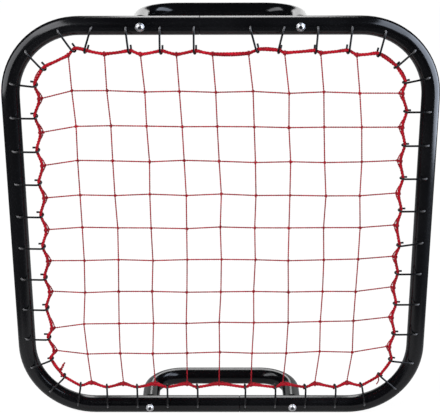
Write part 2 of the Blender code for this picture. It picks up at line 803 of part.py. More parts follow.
clear_scene()
parts = new_collection("handball_rebounder")
cutters = new_collection("cutters")
powder_coat = material("black_powder_coat", (0.012, 0.012, 0.014), 0.22)
hook_black = material("black_wire_coat", (0.02, 0.02, 0.02), 0.35)
zinc = material("zinc_plate", (0.78, 0.78, 0.76), 0.25, 1.0)
plain_steel = material("plain_steel", (0.42, 0.42, 0.43), 0.4, 1.0)
red_twine = material("red_twine", (0.52, 0.02, 0.05), 0.8)
red_rope = material("red_rope", (0.62, 0.01, 0.03), 0.75)

build_frame()
build_handles()
build_screws()
build_plugs()
hooks = hook_places()
build_hooks(hooks)
net_border = border_points(hooks)
build_rope(net_border)
build_net(net_border)
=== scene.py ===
"""Looks of a square hand rebounder: a red knotted net hooked into a glossy black tube frame, with a
tube handle behind its top and its bottom. Metres, +Z up, with the net's side towards -Y."""

import math
import random

import bpy
from mathutils import Matrix, Vector
from mathutils.geometry import interpolate_bezier


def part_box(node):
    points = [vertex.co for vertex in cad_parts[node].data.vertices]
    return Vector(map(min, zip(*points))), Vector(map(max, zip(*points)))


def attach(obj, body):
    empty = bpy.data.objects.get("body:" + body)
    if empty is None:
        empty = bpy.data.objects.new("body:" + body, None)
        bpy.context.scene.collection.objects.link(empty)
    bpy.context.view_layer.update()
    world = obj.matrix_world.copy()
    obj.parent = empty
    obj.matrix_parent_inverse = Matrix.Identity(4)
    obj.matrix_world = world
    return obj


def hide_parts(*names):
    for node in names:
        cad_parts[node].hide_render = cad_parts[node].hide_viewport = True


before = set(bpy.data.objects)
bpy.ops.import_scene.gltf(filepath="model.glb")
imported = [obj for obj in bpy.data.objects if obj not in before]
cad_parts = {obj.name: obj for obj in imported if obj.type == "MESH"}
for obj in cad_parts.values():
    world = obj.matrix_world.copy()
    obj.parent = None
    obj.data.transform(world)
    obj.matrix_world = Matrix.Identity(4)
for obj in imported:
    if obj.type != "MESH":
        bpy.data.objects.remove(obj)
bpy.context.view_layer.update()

MM = 0.001
DEGREE = math.pi / 180


# The two frame halves: 1 inch steel tube, bent twice each, with one end swaged down to plug into
# the other half's plain end. Both were drilled by hand through the front wall and powder coated
# black.
half_low, half_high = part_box("frame_half_right")
FRAME_SIZE = half_high.z - half_low.z
TUBE_RADIUS = (half_high.y - half_low.y) / 2
FRAME_Y = (half_high.y + half_low.y) / 2
FRAME_Z = (half_high.z + half_low.z) / 2
TUBE_WALL = 1.5 * MM
CORNER_RADIUS = 98 * MM
HALF = FRAME_SIZE / 2 - TUBE_RADIUS
RUN = HALF - CORNER_RADIUS
TUBE_SIDES = 96
STEP = 11 * MM
BEND_STEPS = 20
SMOOTH_UP_TO = 35 * DEGREE

SEAM_OFFSET = 27.7 * MM
SPIGOT_LENGTH = 55 * MM
SPIGOT_CLEARANCE = 0.3 * MM
SPIGOT_SCALE = (TUBE_RADIUS - TUBE_WALL - SPIGOT_CLEARANCE) / TUBE_RADIUS
SPIGOT_STEPS = 4
END_CHAMFER = 0.7 * MM
END_SCALE = 1 - END_CHAMFER / TUBE_RADIUS

RUN_HOLES = 5
SIDE_HOLES = 10
SIDE_LAST_HOLE_PAST_BEND_START = 26.5 * MM
HOOK_HOLE_RADIUS = 1.8 * MM
HOOK_HOLE_END_DEPTH = 5 * MM
BIT_START_DEPTH = TUBE_RADIUS + 2 * MM
BIT_SIDES = 24
# A run gives its first hole's distance from the frame's middle and its last hole's distance past
# the bend's start. A corner or a side gives its shift along the tube.
DRILLING = {
    "right": {
        "first_run": (39.5 * MM, 32.1 * MM),
        "first_corner": 3.9 * MM,
        "side": 3.0 * MM,
        "second_corner": 3.6 * MM,
        "second_run": (36.3 * MM, 26.6 * MM),
    },
    "left": {
        "first_run": (35.0 * MM, 26.1 * MM),
        "first_corner": -2.9 * MM,
        "side": 5.1 * MM,
        "second_corner": 4.8 * MM,
        "second_run": (35.3 * MM, 28.1 * MM),
    },
}

# The handles' legs, and so the screws, lie this far from the frame's middle
HANDLE_LEG = 107 * MM
SCREW_RADIUS = 3 * MM
SCREW_HOLE_RADIUS = 3.3 * MM


def start_clean():
    """Nothing selected and object mode, so that the next operator acts only on the new shape."""
    if bpy.context.mode != "OBJECT":
        bpy.ops.object.mode_set(mode="OBJECT")
    bpy.ops.object.select_all(action="DESELECT")


def only(obj):
    """Selects this object alone, as the active one."""
    start_clean()
    obj.select_set(True)
    bpy.context.view_layer.objects.active = obj


def place(point, depth):
    """World place of a point (x, z) of the frame's plane, at a depth before the tube's centre."""
    return Vector((point[0], FRAME_Y - depth, FRAME_Z + point[1]))


def open_ring(name, centre, direction, radius, sides):
    """Starts a tube: a ring of vertices square to its direction, in edit mode for extruding."""
    start_clean()
    turn = direction.to_track_quat("Z", "Y").to_euler()
    bpy.ops.mesh.primitive_circle_add(vertices=sides, radius=radius, location=centre, rotation=turn)
    ring = bpy.context.object
    ring.name = name
    bpy.ops.object.transform_apply(location=True, rotation=True, scale=True)
    bpy.ops.object.mode_set(mode="EDIT")
    bpy.ops.mesh.select_all(action="SELECT")
    return ring


def pull(vector, steps=1):
    """Extrudes the selected ring along a vector in even steps."""
    for _ in range(steps):
        bpy.ops.mesh.extrude_region_move(TRANSFORM_OT_translate={"value": vector / steps})


def pull_to(scale, centre, vector=Vector()):
    """Extrudes the selected ring once and sizes its new end about its centre."""
    bpy.ops.mesh.extrude_region_move(TRANSFORM_OT_translate={"value": vector})
    bpy.ops.transform.resize(value=(scale, scale, scale), center_override=centre)


def bend(centre, axis, angle, steps):
    """Extrudes the selected ring round a centre. Spin counts its angle the other way round."""
    bpy.ops.mesh.spin(steps=steps, angle=-angle, center=centre, axis=axis)


def keep_modifiers(obj):
    """Applies every modifier, so that the mesh is what shows."""
    only(obj)
    for modifier in list(obj.modifiers):
        bpy.ops.object.modifier_apply(modifier=modifier.name)


def smooth(obj, up_to=SMOOTH_UP_TO):
    """Smooths all but the sharp edges."""
    only(obj)
    bpy.ops.object.shade_smooth_by_angle(angle=up_to)


def close_up(obj, up_to=SMOOTH_UP_TO):
    """Merges doubles, turns all faces outwards and smooths the piece."""
    only(obj)
    bpy.ops.object.mode_set(mode="EDIT")
    bpy.ops.mesh.select_all(action="SELECT")
    bpy.ops.mesh.remove_doubles(threshold=0.005 * MM)
    bpy.ops.mesh.normals_make_consistent(inside=False)
    bpy.ops.object.mode_set(mode="OBJECT")
    smooth(obj, up_to)


def hollow(obj):
    """Gives a bent bar its tube's wall, inwards."""
    wall = obj.modifiers.new("wall", "SOLIDIFY")
    wall.thickness = TUBE_WALL
    wall.offset = -1
    keep_modifiers(obj)


def twin(obj, name, matrix):
    """A copy with a mesh of its own, moved in its mesh."""
    made = bpy.data.objects.new(name, obj.data.copy())
    made.data.name = name
    made.data.transform(matrix)
    bpy.context.collection.objects.link(made)
    return made


def fit(obj, slot, *nodes):
    """The finished piece takes the place of its CAD nodes."""
    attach(obj, "root")
    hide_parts(*nodes)


def station(along):
    """Place, inward and clockwise directions on the right half, by the length along the tube from
    the middle of its side, downwards positive."""
    turn = 1 if along > 0 else -1
    beyond = abs(along) - RUN
    arc = CORNER_RADIUS * math.pi / 2
    if beyond <= 0:
        return Vector((HALF, -along)), Vector((-1, 0)), Vector((0, -1))
    if beyond < arc:
        angle = beyond / CORNER_RADIUS
        outward = Vector((math.cos(angle), -turn * math.sin(angle)))
        spot = Vector((RUN, -turn * RUN)) + CORNER_RADIUS * outward
        return spot, -outward, Vector((outward.y, -outward.x))
    return Vector((RUN - (beyond - arc), -turn * HALF)), Vector((0, turn)), Vector((-turn, 0))


def hole_stations(half):
    """A half's hook holes, clockwise from its top seam, as they lie on the right half."""
    drilled = DRILLING[half]
    arc = CORNER_RADIUS * math.pi / 2

    def run_lengths(from_middle, past_bend_start):
        first = RUN + arc + RUN - from_middle
        pitch = (first - RUN - arc + past_bend_start) / (RUN_HOLES - 1)
        return [first - pitch * k for k in range(RUN_HOLES)]

    side_last = RUN + SIDE_LAST_HOLE_PAST_BEND_START
    side_pitch = 2 * side_last / (SIDE_HOLES - 1)
    lengths = [-length for length in run_lengths(*drilled["first_run"])]
    lengths.append(drilled["first_corner"] - RUN - arc / 2)
    lengths += [side_pitch * k - side_last - drilled["side"] for k in range(SIDE_HOLES)]
    lengths.append(RUN + arc / 2 - drilled["second_corner"])
    lengths += run_lengths(*drilled["second_run"])[::-1]
    return [station(length) for length in lengths]


def drill_bits(spots, radius, near, far):
    """One cutter of straight bits along Y, at places in the frame's plane."""
    start_clean()
    bits = []
    for spot in spots:
        bpy.ops.mesh.primitive_cylinder_add(
            vertices=BIT_SIDES,
            radius=radius,
            depth=abs(near - far),
            location=place(spot, (near + far) / 2),
            rotation=(math.pi / 2, 0, 0),
        )
        bits.append(bpy.context.object)
    for bit in bits:
        bit.select_set(True)
    bpy.ops.object.join()
    return bpy.context.object


def cut_away(obj, cutter):
    """Takes the cutter's shape out of the piece, and the cutter out of the scene."""
    only(obj)
    modifier = obj.modifiers.new("cut", "BOOLEAN")
    modifier.operation = "DIFFERENCE"
    modifier.solver = "EXACT"
    modifier.object = cutter
    bpy.ops.object.modifier_apply(modifier=modifier.name)
    bpy.data.objects.remove(cutter)


plain_end = place((-SEAM_OFFSET, HALF), 0)
bent = open_ring("bent_half", plain_end, Vector((1, 0, 0)), TUBE_RADIUS * END_SCALE, TUBE_SIDES)
pull_to(1 / END_SCALE, plain_end + Vector((END_CHAMFER, 0, 0)), Vector((END_CHAMFER, 0, 0)))
pull(Vector((RUN + SEAM_OFFSET - END_CHAMFER, 0, 0)), round((RUN + SEAM_OFFSET) / STEP))
bend(place((RUN, RUN), 0), (0, 1, 0), math.pi / 2, BEND_STEPS)
pull(Vector((0, 0, -2 * RUN)), round(2 * RUN / STEP))
bend(place((RUN, -RUN), 0), (0, 1, 0), math.pi / 2, BEND_STEPS)
pull(Vector((SEAM_OFFSET + END_CHAMFER - RUN, 0, 0)), round((RUN - SEAM_OFFSET) / STEP))
shoulder = place((SEAM_OFFSET, -HALF), 0)
pull_to(END_SCALE, shoulder, Vector((-END_CHAMFER, 0, 0)))
pull_to(SPIGOT_SCALE / END_SCALE, shoulder)
pull(Vector((-SPIGOT_LENGTH, 0, 0)), SPIGOT_STEPS)
bpy.ops.object.mode_set(mode="OBJECT")
close_up(bent)
hollow(bent)

frame_middle = Matrix.Translation((0, FRAME_Y, FRAME_Z))
half_turn = frame_middle @ Matrix.Rotation(math.pi, 4, "Y") @ frame_middle.inverted()
frame_halves = []
for side in ("right", "left"):
    half = twin(bent, "frame_tube_" + side, Matrix.Identity(4))
    spots = [spot for spot, inward, clockwise in hole_stations(side)]
    cut_away(half, drill_bits(spots, HOOK_HOLE_RADIUS, BIT_START_DEPTH, HOOK_HOLE_END_DEPTH))
    screw_spots = [(HANDLE_LEG, HALF), (HANDLE_LEG, -HALF)]
    cut_away(half, drill_bits(screw_spots, SCREW_HOLE_RADIUS, 2 * TUBE_RADIUS, -2 * TUBE_RADIUS))
    if side == "left":
        half.data.transform(half_turn)
    smooth(half)
    fit(half, "frame_coat", "frame_half_" + side)
    frame_halves.append(half)
bpy.data.objects.remove(bent)


class Socket:
    """A shader value that can be written with, as in 0.2 + mask * 0.5."""

    def __init__(self, maker, output):
        self.maker = maker
        self.output = output

    def __add__(self, other):
        return self.maker.maths("ADD", self, other)

    def __radd__(self, other):
        return self.maker.maths("ADD", other, self)

    def __sub__(self, other):
        return self.maker.maths("SUBTRACT", self, other)

    def __mul__(self, other):
        return self.maker.maths("MULTIPLY", self, other)

    def __rmul__(self, other):
        return self.maker.maths("MULTIPLY", other, self)


class Nodes:
    """A node tree and the few ways of adding to it."""

    def __init__(self, tree):
        self.tree = tree

    def feed(self, value, entry):
        """A number, a colour or another node's socket goes into a node's entry."""
        if isinstance(value, Socket):
            self.tree.links.new(value.output, entry)
        else:
            entry.default_value = value

    def node(self, kind, settings=None, inputs=None, output=0):
        """A node, its settings made first, then its sockets by name or in order."""
        made = self.tree.nodes.new(kind)
        for key, value in (settings or {}).items():
            setattr(made, key, value)
        pairs = inputs.items() if isinstance(inputs, dict) else enumerate(inputs or [])
        for key, value in pairs:
            self.feed(value, made.inputs[key])
        return Socket(self, made.outputs[output])

    def maths(self, operation, *values):
        return self.node("ShaderNodeMath", {"operation": operation}, list(values))

    def places(self):
        return self.node("ShaderNodeTexCoord", output="Object")

    def axis(self, name, where):
        return self.node("ShaderNodeSeparateXYZ", inputs=[where], output=name)

    def noise(self, where, scale, detail=2.0, roughness=0.5):
        inputs = {"Vector": where, "Scale": scale, "Detail": detail, "Roughness": roughness}
        return self.node("ShaderNodeTexNoise", inputs=inputs)

    def between(self, value, low, high):
        """0 up to low, 1 from high, smooth in between."""
        settings = {"interpolation_type": "SMOOTHSTEP"}
        inputs = {"Value": value, "From Min": low, "From Max": high}
        return self.node("ShaderNodeMapRange", settings, inputs)

    def mixed(self, factor, first, second):
        """Two colours, mixed. A mix node's entries 6 and 7 and its output 2 are its colours."""
        first, second = (c if isinstance(c, Socket) else (*c, 1.0) for c in (first, second))
        inputs = {0: factor, 6: first, 7: second}
        return self.node("ShaderNodeMix", {"data_type": "RGBA"}, inputs, 2)


class Finish(Nodes):
    """A material, made of nodes round one shader."""

    def __init__(self, name, **fixed):
        self.material = bpy.data.materials.new(name)
        self.material.use_nodes = True
        super().__init__(self.material.node_tree)
        self.shader = self.tree.nodes["Principled BSDF"]
        for socket, value in fixed.items():
            self.shader.inputs[socket.replace("_", " ")].default_value = value

    def set(self, name, value):
        self.feed(value, self.shader.inputs[name])

    def bumps(self, height, distance):
        inputs = {"Height": height, "Distance": distance, "Strength": 1.0}
        self.set("Normal", self.node("ShaderNodeBump", inputs=inputs))

    def on(self, *objects):
        for obj in objects:
            obj.data.materials.clear()
            obj.data.materials.append(self.material)


COAT_BLACK = (0.0025, 0.0026, 0.0033)
COAT_WORN = (0.0052, 0.0054, 0.0064)
COAT_DUST = (0.024, 0.024, 0.026)

powder_coat = Finish("black_powder_coat", Roughness=0.16, IOR=1.5)
here = powder_coat.places()
clouds = powder_coat.noise(here, 9.0, 3.0)
peel = powder_coat.noise(here, 620.0, 2.0, 0.45)
specks = powder_coat.node("ShaderNodeTexVoronoi", inputs={"Vector": here, "Scale": 420.0})
dust = powder_coat.between(specks, 0.11, 0.05) * powder_coat.between(clouds, 0.5, 0.68)
colour = powder_coat.mixed(powder_coat.between(clouds, 0.42, 0.7), COAT_BLACK, COAT_WORN)
powder_coat.set("Base Color", powder_coat.mixed(dust, colour, COAT_DUST))
powder_coat.set("Roughness", 0.13 + 0.06 * clouds + 0.4 * dust)
powder_coat.bumps(peel, 0.018 * MM)
powder_coat.on(*frame_halves)


# The two handles: tube of the same size, bent into a U, its leg ends notched to sit on the back of
# the frame tube, where one screw holds each leg. Coated with the frame's own black powder.
HANDLE_DEPTH = 91 * MM
HANDLE_BEND_RADIUS = 47 * MM
HANDLE_BEND_STEPS = 16
HANDLE_LEG_STEPS = 6
HANDLE_BAR_STEPS = 12
SADDLE_CLEARANCE = 0.15 * MM

leg_start = place((HANDLE_LEG, 0), -TUBE_RADIUS / 2)
handle = open_ring("bent_handle", leg_start, Vector((0, 1, 0)), TUBE_RADIUS, TUBE_SIDES)
straight = HANDLE_DEPTH - HANDLE_BEND_RADIUS - TUBE_RADIUS / 2
bar_half = HANDLE_LEG - HANDLE_BEND_RADIUS
pull(Vector((0, straight, 0)), HANDLE_LEG_STEPS)
bend_depth = HANDLE_BEND_RADIUS - HANDLE_DEPTH
bend(place((bar_half, 0), bend_depth), (0, 0, 1), math.pi / 2, HANDLE_BEND_STEPS)
pull(Vector((-2 * bar_half, 0, 0)), HANDLE_BAR_STEPS)
bend(place((-bar_half, 0), bend_depth), (0, 0, 1), math.pi / 2, HANDLE_BEND_STEPS)
pull(Vector((0, -straight, 0)), HANDLE_LEG_STEPS)
bpy.ops.object.mode_set(mode="OBJECT")
close_up(handle)
hollow(handle)
start_clean()
bpy.ops.mesh.primitive_cylinder_add(
    vertices=TUBE_SIDES,
    radius=TUBE_RADIUS + SADDLE_CLEARANCE,
    depth=3 * HANDLE_LEG,
    location=place((0, 0), 0),
    rotation=(0, math.pi / 2, 0),
)
cut_away(handle, bpy.context.object)
smooth(handle)
handles = []
for name, side in (("upper", 1), ("lower", -1)):
    made = twin(handle, "handle_tube_" + name, Matrix.Translation((0, 0, side * HALF)))
    powder_coat.on(made)
    fit(made, "frame_coat", "handle_" + name)
    handles.append(made)
bpy.data.objects.remove(handle)


# The four screws that hold the handles: M6 steel flange button screws with a hex socket, turned and
# pressed, bright zinc plated, and put in from the front.
SCREW_HEAD_RADIUS = 6 * MM
SCREW_HEAD_HEIGHT = 3.6 * MM
SCREW_FLANGE = 1.0 * MM
SCREW_SEAT = 0.3 * MM
SOCKET_WIDTH = 4 * MM
SOCKET_DEPTH = 2.3 * MM
SCREW_BITE = 16 * MM
SCREW_LENGTH = 2 * TUBE_RADIUS + SCREW_BITE
SCREW_POINT = 0.9 * MM
SCREW_POINT_SCALE = 0.7
SCREW_SIDES = 48
SCREW_SOFT_EDGE = 0.12 * MM

seat = Vector((0, 0, 0))
up = Vector((0, 0, 1))
point_radius = SCREW_POINT_SCALE * SCREW_RADIUS
screw = open_ring("screw", seat - SCREW_LENGTH * up, up, point_radius, SCREW_SIDES)
bpy.ops.mesh.edge_face_add()
pull_to(1 / SCREW_POINT_SCALE, seat - (SCREW_LENGTH - SCREW_POINT) * up, SCREW_POINT * up)
pull(up * (SCREW_LENGTH - SCREW_POINT))
head = [
    (SCREW_HEAD_RADIUS, 0),
    (SCREW_HEAD_RADIUS, 0.55 * SCREW_FLANGE),
    (0.95 * SCREW_HEAD_RADIUS, SCREW_FLANGE),
    (0.76 * SCREW_HEAD_RADIUS, 1.1 * SCREW_FLANGE),
    (0.725 * SCREW_HEAD_RADIUS, 1.35 * SCREW_FLANGE),
    (0.70 * SCREW_HEAD_RADIUS, 0.66 * SCREW_HEAD_HEIGHT),
    (0.62 * SCREW_HEAD_RADIUS, 0.84 * SCREW_HEAD_HEIGHT),
    (0.50 * SCREW_HEAD_RADIUS, 0.95 * SCREW_HEAD_HEIGHT),
    (0.42 * SCREW_HEAD_RADIUS, SCREW_HEAD_HEIGHT),
]
radius_now = SCREW_RADIUS
height_now = 0
for radius, height in head:
    pull_to(radius / radius_now, seat + height * up, (height - height_now) * up)
    radius_now = radius
    height_now = height
bpy.ops.object.mode_set(mode="OBJECT")
close_up(screw, 28 * DEGREE)
start_clean()
bpy.ops.mesh.primitive_cylinder_add(
    vertices=6,
    radius=SOCKET_WIDTH / 2 / math.cos(math.pi / 6),
    depth=2 * SOCKET_DEPTH,
    location=(0, 0, SCREW_HEAD_HEIGHT),
)
cut_away(screw, bpy.context.object)
softened = screw.modifiers.new("softened edges", "BEVEL")
softened.width = SCREW_SOFT_EDGE
softened.segments = 2
softened.limit_method = "ANGLE"
softened.angle_limit = 45 * DEGREE
keep_modifiers(screw)
smooth(screw, 40 * DEGREE)

SCREW_TURNS = {
    "upper_left": 8 * DEGREE,
    "upper_right": 28 * DEGREE,
    "lower_left": 20 * DEGREE,
    "lower_right": 2 * DEGREE,
}
ZINC = (0.8, 0.805, 0.81)
ZINC_DULL = (0.56, 0.57, 0.59)
# Colour of the painted shade in each screw's hex socket
SOCKET_PAINTED_SHADE = (0.11, 0.11, 0.115)

zinc = Finish("bright_zinc", Metallic=0.9)
here = zinc.places()
clouds = zinc.noise(here, 300.0, 3.0)
grain = zinc.noise(here, 2600.0, 2.0)
plating = zinc.mixed(zinc.between(clouds, 0.35, 0.7), ZINC, ZINC_DULL)
# Painted shade: each screw's hex socket is darkened, by the distance from the screw's axis
across = zinc.maths("ABSOLUTE", zinc.axis("X", here)) - HANDLE_LEG
height = zinc.maths("ABSOLUTE", zinc.axis("Z", here) - FRAME_Z) - HALF
from_axis = zinc.maths("SQRT", across * across + height * height)
socket_shade = zinc.between(from_axis, 0.62 * SOCKET_WIDTH, 0.5 * SOCKET_WIDTH)
zinc.set("Base Color", zinc.mixed(socket_shade, plating, SOCKET_PAINTED_SHADE))
zinc.set("Roughness", 0.22 + 0.12 * clouds + 0.3 * socket_shade)
zinc.bumps(grain, 0.012 * MM)

handle_places = {
    "upper_left": (-HANDLE_LEG, HALF),
    "upper_right": (HANDLE_LEG, HALF),
    "lower_left": (-HANDLE_LEG, -HALF),
    "lower_right": (HANDLE_LEG, -HALF),
}
facing_front = Matrix.Rotation(math.pi / 2, 4, "X")
for name, spot in handle_places.items():
    seated = Matrix.Translation(place(spot, TUBE_RADIUS + SCREW_SEAT))
    turn = Matrix.Rotation(SCREW_TURNS[name], 4, "Z")
    made = twin(screw, "flange_screw_" + name, seated @ facing_front @ turn)
    zinc.on(made)
    fit(made, "zinc", "handle_screw_" + name)
bpy.data.objects.remove(screw)


# The four threaded plugs, turned from plain steel and pressed into the handles' leg ends. They are
# hidden inside the legs, and keep the CAD's shape.
STEEL = (0.36, 0.36, 0.37)
STEEL_OILED = (0.22, 0.21, 0.2)

turned_steel = Finish("turned_steel", Metallic=1.0)
here = turned_steel.places()
rings = turned_steel.node(
    "ShaderNodeTexWave",
    {"wave_type": "BANDS", "bands_direction": "Y"},
    {"Vector": here, "Scale": 900.0, "Distortion": 0.6, "Detail": 1.0},
)
film = turned_steel.noise(here, 140.0, 3.0)
turned_steel.set("Base Color", turned_steel.mixed(film, STEEL, STEEL_OILED))
turned_steel.set("Roughness", 0.32 + 0.15 * film)
turned_steel.bumps(rings, 0.02 * MM)
for name in handle_places:
    turned_steel.on(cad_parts["leg_plug_" + name])


# The 44 net hooks: 2.8 mm steel wire, cut and bent to one shape on a jig, coated satin black. Each
# is pushed through its hole in the tube's front wall and held there by the net's pull.
HOOK_WIRE_RADIUS = 1.4 * MM
HOOK_WIRE_SIDES = 16
HOOK_REACH = 37.8 * MM
HOOK_ROOT_BEND = 3 * MM
HOOK_LEG_END_DEPTH = 3 * MM
HOOK_END_CHAMFER = 0.4 * MM
HOOK_END_SCALE = 0.7
HOOK_STEM_RISE = 0.7 * MM
HOOK_TIP_LENGTH = 4 * MM
HOOK_TIP_TAPER = 0.35 * MM
HOOK_TIP_TAPER_SCALE = 0.9
HOOK_TIP_EDGE = 0.12 * MM
HOOK_TIP_EDGE_SCALE = 0.68
HOOK_LEG_STEPS = 3
HOOK_ROOT_STEPS = 6
HOOK_STEM_STEPS = 5
HOOK_EYE_STEPS = 14
HOOK_TWIST_SPREAD = 3 * DEGREE
HOOK_TWIST_SEED = 11
HOOK_FAN = 1.2
HOOK_SLACK = 1.4 * MM
HOOK_GAP = 0.3 * MM
HOOK_TWISTS = {
    "top": 16 * DEGREE,
    "right": 2 * DEGREE,
    "bottom": 8 * DEGREE,
    "left": 15 * DEGREE,
}
# Hooks that were twisted or pushed aside by hand, by their numbers, clockwise from the top left
HAND_TWISTS = {8: -10 * DEGREE, 9: -12 * DEGREE, 10: -10 * DEGREE, 34: 0}
HAND_LEANS = {
    1: 24 * DEGREE,
    2: -18 * DEGREE,
    3: 6 * DEGREE,
    6: 16 * DEGREE,
    7: -13 * DEGREE,
    9: -6 * DEGREE,
    17: 8 * DEGREE,
    34: 10 * DEGREE,
    44: -6 * DEGREE,
}

ROPE_RADIUS = 1.7 * MM
ROPE_SEAT_CLEARANCE = 0.3 * MM
TWINE_SIZE = 1.6 * MM
HOOK_STEM_DEPTH = TUBE_RADIUS + HOOK_GAP + HOOK_WIRE_RADIUS
HOOK_EYE_DEPTH = HOOK_STEM_DEPTH + HOOK_STEM_RISE
NET_BEHIND_ROPE = ROPE_RADIUS + TWINE_SIZE / 2 + HOOK_GAP
HOOK_BEND_RADIUS = HOOK_WIRE_RADIUS + NET_BEHIND_ROPE + TWINE_SIZE / 2 + HOOK_SLACK
HOOK_CENTRE = HOOK_REACH - HOOK_WIRE_RADIUS - HOOK_BEND_RADIUS
ROPE_SEAT = HOOK_CENTRE + HOOK_BEND_RADIUS - HOOK_WIRE_RADIUS - ROPE_RADIUS - ROPE_SEAT_CLEARANCE
ROPE_DEPTH = HOOK_EYE_DEPTH - HOOK_BEND_RADIUS
NET_DEPTH = ROPE_DEPTH - NET_BEHIND_ROPE
ROPE_LINE = HALF - ROPE_SEAT

LINES = 9
HOOK_TO_LINE = 7 * MM
# For each side: how far its first line end lies in from the rope's corner, the shift of all its
# line ends, how far they pull the rope inwards, and how far behind it the selvedge lies
LINE_ENDS = {
    "top": (60.1 * MM, -10.4 * MM, 4 * MM, 2.6 * MM),
    "right": (62.5 * MM, 3.5 * MM, 4.5 * MM, 3.5 * MM),
    "bottom": (63.3 * MM, -3 * MM, 4.6 * MM, 1.9 * MM),
    "left": (62.5 * MM, -3 * MM, 6 * MM, 3.5 * MM),
}
# The second line end at the left slipped down by this
SLIPPED_END = ("left", 1, -11 * MM)


def side_of(spot):
    """The side of the frame that a place lies on."""
    if abs(spot[0]) > abs(spot[1]):
        return "right" if spot[0] > 0 else "left"
    return "top" if spot[1] > 0 else "bottom"


def line_end_places(side):
    """Where the net's lines end along a side, lowest coordinate first."""
    edge, shift = LINE_ENDS[side][:2]
    middle = (LINES - 1) / 2
    pitch = (ROPE_LINE - edge) / middle
    places = [pitch * (k - middle) + shift for k in range(LINES)]
    if side == SLIPPED_END[0]:
        places[SLIPPED_END[1]] += SLIPPED_END[2]
    return places


def settled_lean(number, spot, inward, clockwise):
    """Angle by which a hook leans clockwise, so that it clears the net's lines."""
    if number in HAND_LEANS:
        return HAND_LEANS[number]
    axis = 0 if abs(inward.y) > abs(inward.x) else 1
    if abs(spot[axis]) > RUN:
        return 0.0
    here = spot[axis]
    ends = line_end_places(side_of(spot))
    below = [end for end in ends if end < here]
    above = [end for end in ends if end > here]
    low = below[-1] + HOOK_TO_LINE if below else here
    high = above[0] - HOOK_TO_LINE if above else here
    wanted = min(max(here, low), high)
    return math.asin((wanted - here) * clockwise[axis] / ROPE_SEAT)


def fanned(inward):
    """Corner hooks point inwards, but are drawn squarer to the sides than the bend's radius."""
    angle = math.atan2(abs(inward.y), abs(inward.x))
    angle = math.pi / 4 + HOOK_FAN * (angle - math.pi / 4)
    angle = min(max(angle, 0), math.pi / 2)
    across = math.copysign(math.cos(angle), inward.x)
    return Vector((across, math.copysign(math.sin(angle), inward.y)))


def hook_places():
    """Every hook's number, hole, direction, clockwise direction square to it, and twist about its
    stem, clockwise from the top left."""
    right = hole_stations("right")
    left = [(-spot, -inward, -clockwise) for spot, inward, clockwise in hole_stations("left")]
    chance = random.Random(HOOK_TWIST_SEED)
    places = []
    for k, (spot, inward, clockwise) in enumerate(right + left):
        number = (RUN_HOLES + k) % (2 * len(right)) + 1
        lean = settled_lean(number, spot, inward, clockwise)
        straight = fanned(inward)
        across = Vector((-straight.y, straight.x))
        if across.dot(clockwise) < 0:
            across = -across
        aim = math.cos(lean) * straight + math.sin(lean) * across
        square = math.cos(lean) * across - math.sin(lean) * straight
        twist = HAND_TWISTS.get(number, HOOK_TWISTS[side_of(spot)])
        twist += HOOK_TWIST_SPREAD * (2 * chance.random() - 1)
        places.append((number, spot, aim, square, twist))
    return sorted(places, key=lambda item: item[0])


leg_end = Vector((0, -HOOK_LEG_END_DEPTH, 0))
out = Vector((0, -1, 0))
end_radius = HOOK_END_SCALE * HOOK_WIRE_RADIUS
hook = open_ring("bent_hook", leg_end, out, end_radius, HOOK_WIRE_SIDES)
bpy.ops.mesh.edge_face_add()
pull_to(1 / HOOK_END_SCALE, leg_end + HOOK_END_CHAMFER * out, HOOK_END_CHAMFER * out)
leg = HOOK_STEM_DEPTH - HOOK_ROOT_BEND - HOOK_LEG_END_DEPTH - HOOK_END_CHAMFER
pull(out * leg, HOOK_LEG_STEPS)
root_centre = Vector((HOOK_ROOT_BEND, HOOK_ROOT_BEND - HOOK_STEM_DEPTH, 0))
bend(root_centre, (0, 0, 1), math.pi / 2, HOOK_ROOT_STEPS)
pull(Vector((HOOK_CENTRE - HOOK_ROOT_BEND, -HOOK_STEM_RISE, 0)), HOOK_STEM_STEPS)
eye_centre = Vector((HOOK_CENTRE, HOOK_BEND_RADIUS - HOOK_EYE_DEPTH, 0))
bend(eye_centre, (0, 0, 1), math.pi, HOOK_EYE_STEPS)
back = Vector((-1, 0, 0))
tip = Vector((HOOK_CENTRE, 2 * HOOK_BEND_RADIUS - HOOK_EYE_DEPTH, 0)) + HOOK_TIP_LENGTH * back
pull((HOOK_TIP_LENGTH - HOOK_TIP_TAPER) * back)
edge = tip - HOOK_TIP_EDGE * back
pull_to(HOOK_TIP_TAPER_SCALE, edge, (HOOK_TIP_TAPER - HOOK_TIP_EDGE) * back)
pull_to(HOOK_TIP_EDGE_SCALE, tip, HOOK_TIP_EDGE * back)
bpy.ops.mesh.edge_face_add()
bpy.ops.object.mode_set(mode="OBJECT")
close_up(hook, 45 * DEGREE)

HOOK_BLACK = (0.005, 0.005, 0.006)
HOOK_SCUFFED = (0.02, 0.02, 0.022)
# Painted glint: the wire is painted lighter near its hole, fading out along it
HOOK_PAINTED_GLINT = (0.1, 0.1, 0.104)
GLINT_LENGTH = 3 * MM
GLINT_FADE = 5 * MM

from_hole = hook.data.attributes.new("from_hole", "FLOAT", "POINT")
from_hole.data.foreach_set("value", [vertex.co.x for vertex in hook.data.vertices])

